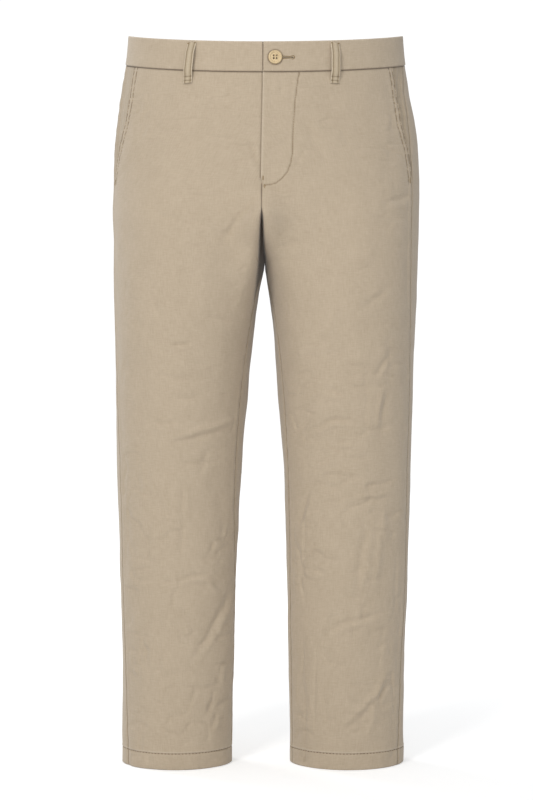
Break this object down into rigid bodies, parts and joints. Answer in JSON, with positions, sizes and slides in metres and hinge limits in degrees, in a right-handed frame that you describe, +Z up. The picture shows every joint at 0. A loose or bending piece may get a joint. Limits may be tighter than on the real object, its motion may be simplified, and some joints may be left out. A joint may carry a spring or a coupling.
{
  "type": "chino trousers",
  "caption": "Plain men's chino trousers in beige cotton twill, filled out as worn and hollow, with slanted hip pockets, a buttoned waistband, belt loops and open hemmed legs.",
  "frame": {"origin": "middle of the waist opening, halfway up the waistband at the side seams, where the wearer holds the trousers up", "axes": "+Z up along the wearer's body, -Y towards the front with the fly, +X to the wearer's left"},
  "size_m": [0.4212, 0.2704, 1.016],
  "materials": {
    "cloth_shell": "matt beige cotton twill with a fine diagonal weave",
    "cloth_inside": "matt beige cotton twill, inner layers",
    "belt_loops": "matt beige cotton twill, topstitched",
    "waist_button": "satin tan plastic"
  },
  "bodies": {
    "root": {"front_panel_left": "cloth_shell", "front_panel_right": "cloth_shell", "back_panel_left": "cloth_shell", "back_panel_right": "cloth_shell", "waistband_left": "cloth_shell", "waistband_right": "cloth_shell", "pocket_facing_left": "cloth_inside", "pocket_facing_right": "cloth_inside", "fly_placket": "cloth_inside", "hem_left": "cloth_inside", "hem_right": "cloth_inside", "belt_loop_front_left": "belt_loops", "belt_loop_front_right": "belt_loops", "belt_loop_back_left": "belt_loops", "belt_loop_back_right": "belt_loops", "belt_loop_back_centre": "belt_loops", "waist_button": "waist_button"}
  },
  "joints": []
}
